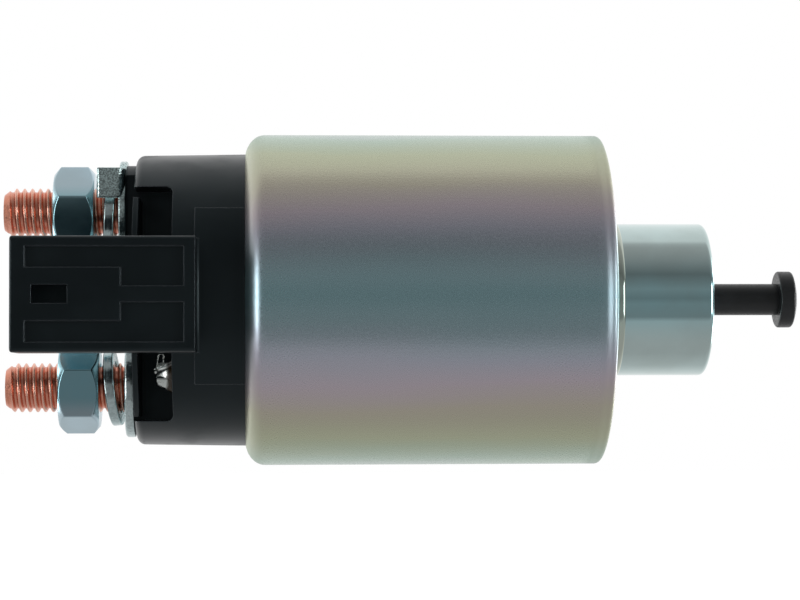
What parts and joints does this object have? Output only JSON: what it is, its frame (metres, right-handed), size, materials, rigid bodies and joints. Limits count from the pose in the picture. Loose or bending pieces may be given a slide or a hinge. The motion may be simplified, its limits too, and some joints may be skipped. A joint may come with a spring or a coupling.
{
  "type": "starter solenoid",
  "caption": "Starter solenoid: round steel can with a spring-returned plunger and pull rod, copper terminal studs and a side plug connector on a plastic cap.",
  "frame": {"origin": "centre of the can's front mounting face, on the solenoid's axis", "axes": "+X along the axis towards the pull rod, +Z towards the motor stud, the connector on the -Y side"},
  "size_m": [0.1282, 0.0561, 0.0532],
  "materials": {
    "can_zinc": "iridescent zinc passivate over drawn steel",
    "zinc_plate": "bright zinc plate",
    "washer_zinc": "dull zinc plate",
    "copper": "rolled and machined copper",
    "black_plastic": "moulded glass-filled nylon, satin",
    "black_oxide": "black oxide steel",
    "solder": "bright lead-free solder",
    "tin_plate": "tinned brass strip",
    "core_steel": "turned soft iron",
    "winding": "enamelled copper wire",
    "wire": "enamelled copper wire",
    "natural_plastic": "moulded nylon",
    "wrap_tape": "varnished cloth tape",
    "seal_rubber": "moulded rubber",
    "spring_steel": "drawn spring wire"
  },
  "bodies": {
    "housing": {"can": "can_zinc", "guide_sleeve": "zinc_plate", "fixed_core": "core_steel", "bobbin": "natural_plastic", "pull_in_winding": "winding", "hold_in_winding": "winding", "coil_wrap": "wrap_tape", "pull_in_start_lead": "wire", "hold_in_start_lead": "wire", "pull_in_end_lead": "wire", "hold_in_ground_lead": "wire", "cap": "black_plastic", "cap_gasket": "seal_rubber", "start_terminal": "tin_plate", "solder_joint": "solder", "battery_stud": "copper", "motor_stud": "copper", "battery_stud_seal": "seal_rubber", "motor_stud_seal": "seal_rubber", "battery_flat_washer": "washer_zinc", "motor_tab_washer": "washer_zinc", "battery_spring_washer": "washer_zinc", "motor_spring_washer": "washer_zinc", "battery_nut": "zinc_plate", "motor_nut": "zinc_plate", "contact_return_spring": "spring_steel", "return_spring": "spring_steel"},
    "plunger": {"plunger": "zinc_plate", "plunger_retainer": "zinc_plate", "meshing_spring": "spring_steel"},
    "pull_rod": {"pull_rod": "black_oxide"},
    "contact_rod": {"contact_rod": "core_steel", "contact_clip": "spring_steel", "contact_spring": "spring_steel"},
    "contact_bridge": {"contact_bridge": "copper", "bridge_bush": "natural_plastic", "bridge_washer": "natural_plastic"}
  },
  "joints": [
    {"name": "plunger_slide", "type": "slide", "parent": "housing", "child": "plunger", "axis": [-1, 0, 0], "range_m": [0, 0.0117], "stiffness_N_per_m": 1200, "deforming": ["return_spring"]},
    {"name": "rod_slide", "type": "slide", "parent": "plunger", "child": "pull_rod", "axis": [1, 0, 0], "range_m": [0, 0.005], "stiffness_N_per_m": 4000, "deforming": ["meshing_spring"]},
    {"name": "contact_rod_slide", "type": "slide", "parent": "housing", "child": "contact_rod", "axis": [-1, 0, 0], "range_m": [0, 0.0035], "deforming": ["contact_spring"]},
    {"name": "contact_bridge_slide", "type": "slide", "parent": "housing", "child": "contact_bridge", "axis": [-1, 0, 0], "range_m": [0, 0.00293], "deforming": ["contact_return_spring"]}
  ],
  "couplings": [
    {"joint": "contact_rod_slide", "follows": "plunger_slide", "ratio": 0.299},
    {"joint": "contact_bridge_slide", "follows": "plunger_slide", "ratio": 0.25}
  ]
}
